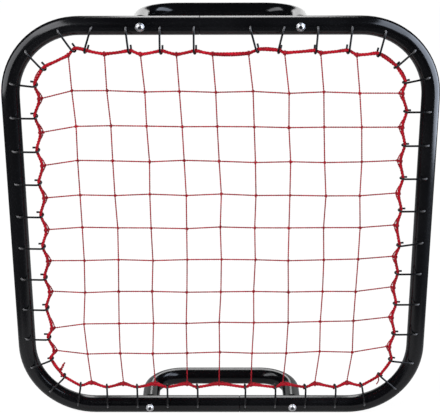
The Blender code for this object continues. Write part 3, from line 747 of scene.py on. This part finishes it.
satin_black = Finish("satin_black_wire", Roughness=0.2, Specular_IOR_Level=0.3)
here = satin_black.places()
drawn = satin_black.noise(here, 900.0, 2.0)
scuffs = satin_black.noise(here, 210.0, 4.0, 0.6)
scuffed = satin_black.between(scuffs, 0.56, 0.72)
reach = satin_black.node("ShaderNodeAttribute", {"attribute_name": "from_hole"}, output="Fac")
unglinted_from = GLINT_LENGTH + 1.5 * GLINT_FADE
# Painted glint at each hook's root, its end made ragged by the scuffs' noise
root_glint = satin_black.between(reach + GLINT_FADE * scuffs, unglinted_from, GLINT_LENGTH)
wire = satin_black.mixed(scuffed, HOOK_BLACK, HOOK_SCUFFED)
satin_black.set("Base Color", satin_black.mixed(root_glint, wire, HOOK_PAINTED_GLINT))
satin_black.set("Roughness", 0.13 + 0.08 * drawn + 0.12 * scuffed + 0.1 * root_glint)
satin_black.bumps(drawn, 0.02 * MM)

hooks = hook_places()
for number, spot, aim, square, twist in hooks:
    heading = Matrix.Rotation(-math.atan2(aim.y, aim.x), 4, "Y")
    stem_line = Matrix.Translation((0, -HOOK_STEM_DEPTH, 0))
    roll = stem_line @ Matrix.Rotation(twist, 4, "X") @ stem_line.inverted()
    seated = Matrix.Translation(place(spot, 0)) @ heading @ roll
    made = twin(hook, f"wire_hook_{number:02d}", seated)
    satin_black.on(made)
    fit(made, "hook_coat", f"net_hook_{number:02d}")
bpy.data.objects.remove(hook)


# The border rope: three-strand laid polypropylene, dyed red, run through the bends of all the hooks
# and spliced into a loop. The net's lines pull it inwards between the hooks.
ROPE_STRANDS = 3
ROPE_STRAND_RADIUS = 1.14 * MM
ROPE_LAY_RADIUS = 1.18 * MM
ROPE_LAY = 13 * MM
ROPE_STEP = 0.85 * MM
ROPE_SIDES = 8
ROPE_FIBRE_TURN = -90
ROPE_BEARING = 2 * MM
SELVEDGE_PAST_EYE = 1.6 * MM
SCALLOP_RUN_UP = 12 * MM

INWARDS = {
    "top": Vector((0, -1)),
    "right": Vector((-1, 0)),
    "bottom": Vector((0, 1)),
    "left": Vector((1, 0)),
}


def clockwise_order(point):
    """Sorting key that goes clockwise from the left end of the top run."""
    return (3 * math.pi / 4 - math.atan2(point.y, point.x)) % (2 * math.pi)


def border_points(places):
    """Border of the net, clockwise: hooks and line ends, each with its rope and selvedge point.
    Only the hooks have a direction square to them."""
    border = []
    for number, spot, aim, square, twist in places:
        rope_drop = HOOK_STEM_DEPTH - ROPE_DEPTH
        net_drop = HOOK_STEM_DEPTH - NET_DEPTH
        selvedge_reach = HOOK_CENTRE + SELVEDGE_PAST_EYE
        border.append(
            {
                "key": ("hook", number),
                "rope": spot + ROPE_SEAT * aim + rope_drop * math.sin(twist) * square,
                "rope_depth": HOOK_STEM_DEPTH - rope_drop * math.cos(twist),
                "selvedge": spot + selvedge_reach * aim + net_drop * math.sin(twist) * square,
                "selvedge_depth": HOOK_STEM_DEPTH - net_drop * math.cos(twist),
                "square": square,
            }
        )
    border.sort(key=lambda item: clockwise_order(item["rope"]))
    ends = []
    for side, inward in INWARDS.items():
        scallop, inset = LINE_ENDS[side][2:]
        for k, along in enumerate(line_end_places(side)):
            axis = 0 if side in ("top", "bottom") else 1
            guess = -ROPE_LINE * inward
            guess[axis] = along
            order = clockwise_order(guess)
            after = next(
                (n for n, item in enumerate(border) if clockwise_order(item["rope"]) > order), 0
            )
            before_point = border[after - 1]["rope"]
            after_point = border[after]["rope"]
            share = (along - before_point[axis]) / (after_point[axis] - before_point[axis])
            share = min(max(share, 0), 1)
            base = before_point.lerp(after_point, share)
            nearest = min((base - before_point).length, (base - after_point).length)
            pulled = base + inward * scallop * min(1, nearest / SCALLOP_RUN_UP)
            ends.append(
                {
                    "key": (side, k),
                    "rope": pulled,
                    "rope_depth": ROPE_DEPTH,
                    "selvedge": pulled + inset * inward,
                    "selvedge_depth": NET_DEPTH,
                }
            )
    return sorted(border + ends, key=lambda item: clockwise_order(item["rope"]))


def smooth_route(points, step, closed=False):
    """Closely and evenly spaced points on a smooth curve through the given ones."""
    count = len(points)
    headings = []
    for k, point in enumerate(points):
        before = points[k - 1] if closed or k else point
        after = points[(k + 1) % count] if closed or k < count - 1 else point
        headings.append((after - before).normalized())
    route = []
    for k in range(count if closed else count - 1):
        first, last = points[k], points[(k + 1) % count]
        third = (last - first).length / 3
        handles = (first + third * headings[k], last - third * headings[(k + 1) % count])
        pieces = max(2, round(3 * third / step))
        route += interpolate_bezier(first, *handles, last, pieces + 1)[:-1]
    if not closed:
        route.append(points[-1])
    return route


def laid_round(route, radius, lay, start=0.0, closed=False):
    """A strand's line, laid round a route once for each lay length."""
    count = len(route)
    spans = [(route[(k + 1) % count] - route[k]).length for k in range(count)]
    if closed:
        lay = sum(spans) / round(sum(spans) / lay)
    line = []
    along = 0
    for k, point in enumerate(route):
        before = route[k - 1] if closed or k else point
        after = route[(k + 1) % count] if closed or k < count - 1 else point
        front = Vector((0, -1, 0))
        side = (after - before).cross(front).normalized()
        angle = start + 2 * math.pi * along / lay
        line.append(point + radius * (math.cos(angle) * front + math.sin(angle) * side))
        along += spans[k]
    return line


def strands(name, lines, radius, sides, fibre_turn, closed=False):
    """One mesh of round strands along lines of points. Its fibre attribute holds, for each vertex,
    the length along the strand and the place in its cross-section, turned as the fibres are spun,
    by so many turns in a metre."""
    start_clean()
    data = bpy.data.curves.new(name, "CURVE")
    data.dimensions = "3D"
    data.bevel_depth = radius
    data.bevel_resolution = (sides - 4) // 2
    fibres = []
    for line in lines:
        spline = data.splines.new("POLY")
        spline.points.add(len(line) - 1)
        spline.use_cyclic_u = closed
        along = 0
        for k, point in enumerate(line):
            spline.points[k].co = (*point, 1.0)
            along += (point - line[k - 1]).length if k else 0
            for n in range(sides):
                angle = 2 * math.pi * (n / sides + along * fibre_turn)
                fibres += [along, radius * math.cos(angle), radius * math.sin(angle)]
    cord = bpy.data.objects.new(name, data)
    bpy.context.collection.objects.link(cord)
    only(cord)
    bpy.ops.object.convert(target="MESH")
    cord = bpy.context.object
    fibre = cord.data.attributes.new("fibre", "FLOAT_VECTOR", "POINT")
    fibre.data.foreach_set("vector", fibres)
    cord.data.shade_smooth()
    return cord


border = border_points(hooks)
rope_points = []
for item in border:
    here = item["rope"]
    depth = item["rope_depth"]
    if "square" in item:
        rope_points.append(place(here - ROPE_BEARING * item["square"], depth))
        rope_points.append(place(here + ROPE_BEARING * item["square"], depth))
    else:
        rope_points.append(place(here, depth))
rope_route = smooth_route(rope_points, ROPE_STEP, closed=True)
rope_lines = []
for k in range(ROPE_STRANDS):
    start = 2 * math.pi * k / ROPE_STRANDS
    rope_lines.append(laid_round(rope_route, ROPE_LAY_RADIUS, ROPE_LAY, start, closed=True))
rope = strands(
    "border_rope_laid", rope_lines, ROPE_STRAND_RADIUS, ROPE_SIDES, ROPE_FIBRE_TURN, closed=True
)

ROPE_RED = (0.54, 0.003, 0.018)
ROPE_RED_DEEP = (0.25, 0.001, 0.006)
STROKES_ALONG = 90.0


def spun_finish(name, bright, deep, fineness, height):
    """Finish of spun fibres, whose strokes follow the fibre attribute along and round a strand.
    The strokes are fine round the strand and long along it."""
    finish = Finish(name, Roughness=0.6, Sheen_Weight=0.03, Specular_IOR_Level=0.12)
    fibre = finish.node("ShaderNodeAttribute", {"attribute_name": "fibre"}, output=1)
    stretch = {0: fibre, 1: (STROKES_ALONG, fineness, fineness)}
    strokes = finish.node("ShaderNodeVectorMath", {"operation": "MULTIPLY"}, stretch)
    fine = finish.noise(strokes, 1.0, 3.0, 0.6)
    dyed = finish.noise(finish.places(), 45.0, 3.0, 0.6)
    lot = finish.between(0.6 * fine + 0.4 * dyed, 0.36, 0.62)
    finish.set("Base Color", finish.mixed(lot, deep, bright))
    finish.set("Roughness", 0.5 + 0.25 * fine)
    finish.bumps(fine, height)
    return finish


rope_fibre = spun_finish("red_rope_fibre", ROPE_RED, ROPE_RED_DEEP, 5200.0, 0.12 * MM)
rope_fibre.on(rope)
fit(rope, "rope", "border_rope")


# The net: two-ply twisted red twine, nine lines each way, knotted where they cross. A selvedge
# twine runs through the hooks behind the rope. Each line's end is hitched to it and to the rope.
PLY_RADIUS = 0.6 * MM
PLY_LAY_RADIUS = 0.5 * MM
PLY_LAY = 6.5 * MM
PLY_STEP = 0.85 * MM
PLY_SIDES = 6
PLY_FIBRE_TURN = -160
LINES_APART = 0.35 * MM
EDGE_MESH_WIDTH = 57.8 * MM
EDGE_MESH_HEIGHT = 53.9 * MM
MESH_WIDTH = 2 * (ROPE_LINE - EDGE_MESH_WIDTH) / (LINES - 1)
MESH_HEIGHT = 2 * (ROPE_LINE - EDGE_MESH_HEIGHT) / (LINES - 1)
RIGHT_ROWS_CLOSER = 0.022
TOP_ROW_LEAN = -5.9 * MM
BOTTOM_ROW_LEAN = -2.2 * MM
NET_SAG = 0.9 * MM
KNOT_SCATTER = 1.5 * MM
KNOT_SEED = 39468
# The first column's second knot slipped outwards by this
SLIPPED_KNOT = (0, 1, -4 * MM)


def inner_knots():
    """Places of the knots where the net's lines cross, by column and row from the lower left."""
    chance = random.Random(KNOT_SEED)
    middle = (LINES - 1) / 2
    knots = {}
    for column in range(LINES):
        for row in range(LINES):
            level = (row - middle) / middle
            lean = (TOP_ROW_LEAN if level > 0 else BOTTOM_ROW_LEAN) * level**2
            x = MESH_WIDTH * (column - middle) + lean
            z = MESH_HEIGHT * (row - middle) * (1 - RIGHT_ROWS_CLOSER * column / (LINES - 1))
            scatter = Vector((chance.random() - 0.5, chance.random() - 0.5)) * 2 * KNOT_SCATTER
            knots[column, row] = Vector((x, z - NET_SAG)) + scatter
    column, row, slip = SLIPPED_KNOT
    knots[column, row].x += slip
    return knots


def two_ply(name, routes, closed=False):
    """Twine of two plies along each route, as one mesh."""
    lines = []
    for route in routes:
        for start in (0, math.pi):
            lines.append(laid_round(route, PLY_LAY_RADIUS, PLY_LAY, start, closed))
    return strands(name, lines, PLY_RADIUS, PLY_SIDES, PLY_FIBRE_TURN, closed)


crossings = inner_knots()
line_end = {item["key"]: item for item in border}
net_pieces = []
for name, first, last, over in (
    ("net_columns", "bottom", "top", LINES_APART),
    ("net_rows", "left", "right", -LINES_APART),
):
    routes = []
    for k in range(LINES):
        line = [place(line_end[first, k]["selvedge"], NET_DEPTH)]
        for n in range(LINES):
            key = (k, n) if first == "bottom" else (n, k)
            line.append(place(crossings[key], NET_DEPTH + over))
        line.append(place(line_end[last, k]["selvedge"], NET_DEPTH))
        route = []
        for start, end in zip(line, line[1:]):
            pieces = round((end - start).length / PLY_STEP)
            route += [start.lerp(end, n / pieces) for n in range(pieces)]
        routes.append(route + [line[-1]])
    net_pieces.append(two_ply(name, routes))

selvedge_points = [place(item["selvedge"], item["selvedge_depth"]) for item in border]
selvedge_route = smooth_route(selvedge_points, PLY_STEP, closed=True)
net_pieces.append(two_ply("net_selvedge", [selvedge_route], closed=True))

# The rope's whipping twine was cut off here: places along each loose end, in mm from the frame's
# middle
LOOSE_DEPTH = 6 * MM
LOOSE_ENDS = [
    [(-239.5, -226.0), (-236.8, -221.5), (-236.0, -218.8), (-231.8, -215.4)],
    [(-238.9, -226.4), (-235.6, -222.6), (-234.4, -219.6), (-233.2, -214.6)],
    [(233.2, -236.0), (235.0, -241.0), (235.2, -245.5), (232.4, -251.2)],
]
loose_routes = []
for ends in LOOSE_ENDS:
    points = [place((x * MM, z * MM), LOOSE_DEPTH) for x, z in ends]
    loose_routes.append(smooth_route(points, PLY_STEP))
net_pieces.append(two_ply("net_loose_ends", loose_routes))

KNOT_RADIUS = 1.9 * MM
KNOT_TWINE_RADIUS = 0.75 * MM
KNOT_STEPS = 18
KNOT_DEPTH_SCALE = 1.6
KNOT_SIZE_SPREAD = 0.2
KNOT_TILT = 0.5
KNOT_TURN_SEED = 3
HITCH_RADIUS = 2.55 * MM
HITCH_STEPS = 12
HITCH_SPREAD = 0.75 * MM
HITCH_GATHERED = 0.8

chance = random.Random(KNOT_TURN_SEED)
knot_lines = []
knot_spots = [place(spot, NET_DEPTH) for spot in crossings.values()]
for item in border:
    if "square" not in item:
        knot_spots.append(place(item["selvedge"], item["selvedge_depth"]))
knot_spots += [route[0] for route in loose_routes]
for spot in knot_spots:
    turn = Matrix.Rotation(2 * math.pi * chance.random(), 3, "Y")
    tilt = Matrix.Rotation(KNOT_TILT * (chance.random() - 0.5), 3, "X")
    # The curve below reaches 3 times its size from the knot's middle
    size = KNOT_RADIUS * (1 - KNOT_SIZE_SPREAD / 2 + KNOT_SIZE_SPREAD * chance.random()) / 3
    line = []
    for n in range(KNOT_STEPS):
        t = 2 * math.pi * n / KNOT_STEPS
        across = math.sin(t) + 2 * math.sin(2 * t)
        up = math.cos(t) - 2 * math.cos(2 * t)
        back = -KNOT_DEPTH_SCALE * math.sin(3 * t)
        line.append(spot + size * (turn @ tilt @ Vector((across, back, up))))
    knot_lines.append(line)
for k, item in enumerate(border):
    if "square" in item:
        continue
    before = border[k - 1]["rope"]
    after = border[(k + 1) % len(border)]["rope"]
    along = (after - before).normalized()
    along = Vector((along.x, 0, along.y))
    centre = place(item["rope"], item["rope_depth"])
    towards = place(item["selvedge"], item["selvedge_depth"]) - centre
    inward = towards.normalized()
    front = inward.cross(along)
    for shift in (-HITCH_SPREAD, HITCH_SPREAD):
        line = []
        for n in range(HITCH_STEPS):
            angle = 2 * math.pi * n / HITCH_STEPS
            reach = towards.length if n == 0 else HITCH_RADIUS
            offset = reach * math.cos(angle) * inward + HITCH_RADIUS * math.sin(angle) * front
            line.append(centre + offset + shift * (1 - HITCH_GATHERED * (n == 0)) * along)
        knot_lines.append(line)
net_pieces.append(
    strands("net_knots", knot_lines, KNOT_TWINE_RADIUS, PLY_SIDES, PLY_FIBRE_TURN, closed=True)
)

TWINE_RED = (0.44, 0.008, 0.02)
TWINE_RED_DEEP = (0.22, 0.003, 0.009)

twine_fibre = spun_finish("red_twine_fibre", TWINE_RED, TWINE_RED_DEEP, 9000.0, 0.06 * MM)
twine_fibre.on(*net_pieces)
for piece in net_pieces:
    fit(piece, "twine", "net")


# The floor and the light: white studio paper, dark to mirrors in front of the object and beside it,
# and soft boxes all round. Some are flagged off a handle or a half, or light only that, as a
# photographer would, and three thin strips draw the streaks in the lower bends.
FLOOR_SIZE = 8.0

start_clean()
bpy.ops.mesh.primitive_plane_add(size=FLOOR_SIZE, location=(0, 0, 0))
floor = bpy.context.object
floor.name = "floor"
bpy.ops.object.mode_set(mode="EDIT")
bpy.ops.mesh.subdivide(number_cuts=7)
bpy.ops.object.mode_set(mode="OBJECT")

FLOOR_PALE = (0.8, 0.8, 0.8)
FLOOR_NEAR = (0.44, 0.44, 0.44)
FLOOR_FAR = (0.03, 0.03, 0.032)
PALE_HALF_WIDTH = 0.42
PALE_IN_FRONT = 0.22
SOFT_EDGE = 0.25
SHADOW_SHARE = 0.1
GLOW = 1.07

paper = Finish("studio_paper", Roughness=0.9)
here = paper.places()
tooth = paper.noise(here, 700.0, 3.0)
paper.bumps(tooth, 0.01 * MM)
across = paper.maths("ABSOLUTE", paper.axis("X", here))
beside = paper.between(across, PALE_HALF_WIDTH, PALE_HALF_WIDTH + SOFT_EDGE)
before = paper.between(-1 * paper.axis("Y", here), PALE_IN_FRONT, PALE_IN_FRONT + SOFT_EDGE)
far = paper.maths("MAXIMUM", beside, before)
mirrored = paper.node("ShaderNodeLightPath", output="Is Glossy Ray")
in_mirror = paper.mixed(far, FLOOR_NEAR, FLOOR_FAR)
paper.set("Base Color", paper.mixed(mirrored, FLOOR_PALE, in_mirror))
seen = paper.node("ShaderNodeLightPath", output="Is Camera Ray")
glow = paper.node("ShaderNodeEmission", inputs={"Color": (1, 1, 1, 1), "Strength": GLOW})
matt = Socket(paper, paper.shader.outputs[0])
surface = paper.node("ShaderNodeMixShader", inputs=[seen * (1 - SHADOW_SHARE), matt, glow])
paper.feed(surface, paper.tree.nodes["Material Output"].inputs["Surface"])
paper.on(floor)

SKY_SEEN = (1, 1, 1)
SKY_LIGHT = (0.5, 0.5, 0.515)
SKY_IN_MIRROR = (0.006, 0.006, 0.007)

world = bpy.data.worlds.new("studio")
bpy.context.scene.world = world
world.use_nodes = True
sky = Nodes(world.node_tree)
seen = sky.node("ShaderNodeLightPath", output="Is Camera Ray")
mirrored = sky.node("ShaderNodeLightPath", output="Is Glossy Ray")
colour = sky.mixed(mirrored, sky.mixed(seen, SKY_LIGHT, SKY_SEEN), SKY_IN_MIRROR)
sky.feed(colour, world.node_tree.nodes["Background"].inputs["Color"])

WHITE = (1, 1, 1)
NEARLY_WHITE = (0.95, 0.96, 1.0)
COOL = (0.78, 0.87, 1.04)


def soft_box(name, where, aim, width, height, brightness, tint=WHITE, lights=(), spares=()):
    """An area lamp that only glossy surfaces show, by its brightness per area. It is flagged so
    that it lights some pieces only, or spares them."""
    lamp = bpy.data.lights.new(name, "AREA")
    lamp.shape = "RECTANGLE"
    lamp.size = width
    lamp.size_y = height
    lamp.energy = brightness * math.pi * width * height
    lamp.color = tint
    box = bpy.data.objects.new(name, lamp)
    bpy.context.collection.objects.link(box)
    box.location = where
    box.rotation_euler = (Vector(aim) - Vector(where)).to_track_quat("-Z", "Y").to_euler()
    box.visible_camera = False
    box.visible_diffuse = False
    if lights or spares:
        flagged = bpy.data.collections.new(name + "_flag")
        for piece in lights or spares:
            flagged.objects.link(piece)
        for entry in flagged.collection_objects:
            entry.light_linking.link_state = "INCLUDE" if lights else "EXCLUDE"
        box.light_linking.receiver_collection = flagged
    return box


right_half, left_half = frame_halves
upper, lower = handles
middle = (0, 0, FRAME_Z)
level = (0, 0, 0.6)
left_bend = (-0.25, -0.05, 0.05)
right_bend = (0.25, -0.05, 0.05)
left_spares = [right_half, upper, lower]
right_spares = [left_half, upper, lower]
soft_box("rim_panel", (0, 4, 4.1), middle, 1.2, 3.6, 5, spares=[upper])
soft_box("back_panel", (0, 2, 0.6), level, 1.2, 1.2, 0.85, spares=handles)
soft_box("upper_panel", (0, 2.02, 0.6), level, 1.3, 1.2, 1.7, lights=[upper])
soft_box("lower_panel", (0, 2.04, 0.6), level, 2.8, 1.2, 0.6, lights=[lower])
place_and_aim = (-1.5, -0.5, 0.91), (0, -0.5, 0.91)
soft_box("left_side", *place_and_aim, 1.6, 1.34, 2.6, NEARLY_WHITE, spares=left_spares)
place_and_aim = (-1.18, -1.4, 1.9), (-0.18, -1.4, 0.9)
soft_box("left_top", *place_and_aim, 3.4, 0.905, 3.6, NEARLY_WHITE, spares=[right_half])
place_and_aim = (1.5, -0.3, 0.8), (0, -0.3, 0.8)
soft_box("right_side", *place_and_aim, 1.9, 1.56, 6, COOL, spares=right_spares)
place_and_aim = (1.18, -0.8, 1.9), (0.18, -0.8, 0.9)
soft_box("right_top", *place_and_aim, 2.8, 0.905, 4.2, COOL, spares=[left_half])
soft_box("strip_back", (1.3, -0.09, 0.98), left_bend, 0.22, 1.7, 5, COOL, lights=[left_half])
soft_box("strip_front", (1.13, -0.9, 0.82), left_bend, 0.16, 1.2, 4, COOL, lights=[left_half])
soft_box("strip_left", (-1.3, -0.09, 0.98), right_bend, 0.3, 1.2, 5, lights=[right_half])
key = soft_box("key", (-0.9, -1.6, 2.0), middle, 1.0, 1.0, 14)
key.visible_diffuse = True
key.visible_glossy = False


# The camera, where the photographer stood: in front, above, and looking 22.6 degrees down.
CAMERA_PLACE = (0.0079, -1.72801, 0.94132)
CAMERA_DOWN = 22.574 * DEGREE
CAMERA_RIGHT = -0.309 * DEGREE
CAMERA_ROLL = 0.154 * DEGREE
FILM_WIDTH = 36
LENS = 103.4
SHIFT_Y = 0.131

camera_data = bpy.data.cameras.new("camera")
camera_data.sensor_width = FILM_WIDTH
camera_data.lens = LENS
camera_data.shift_y = SHIFT_Y
camera = bpy.data.objects.new("camera", camera_data)
bpy.context.collection.objects.link(camera)
aim = Matrix.Rotation(-CAMERA_RIGHT, 4, "Z") @ Matrix.Rotation(math.pi / 2 - CAMERA_DOWN, 4, "X")
roll = Matrix.Rotation(-CAMERA_ROLL, 4, "Z")
camera.matrix_world = Matrix.Translation(CAMERA_PLACE) @ aim @ roll
bpy.context.scene.camera = camera
bpy.context.scene.view_settings.view_transform = "Standard"
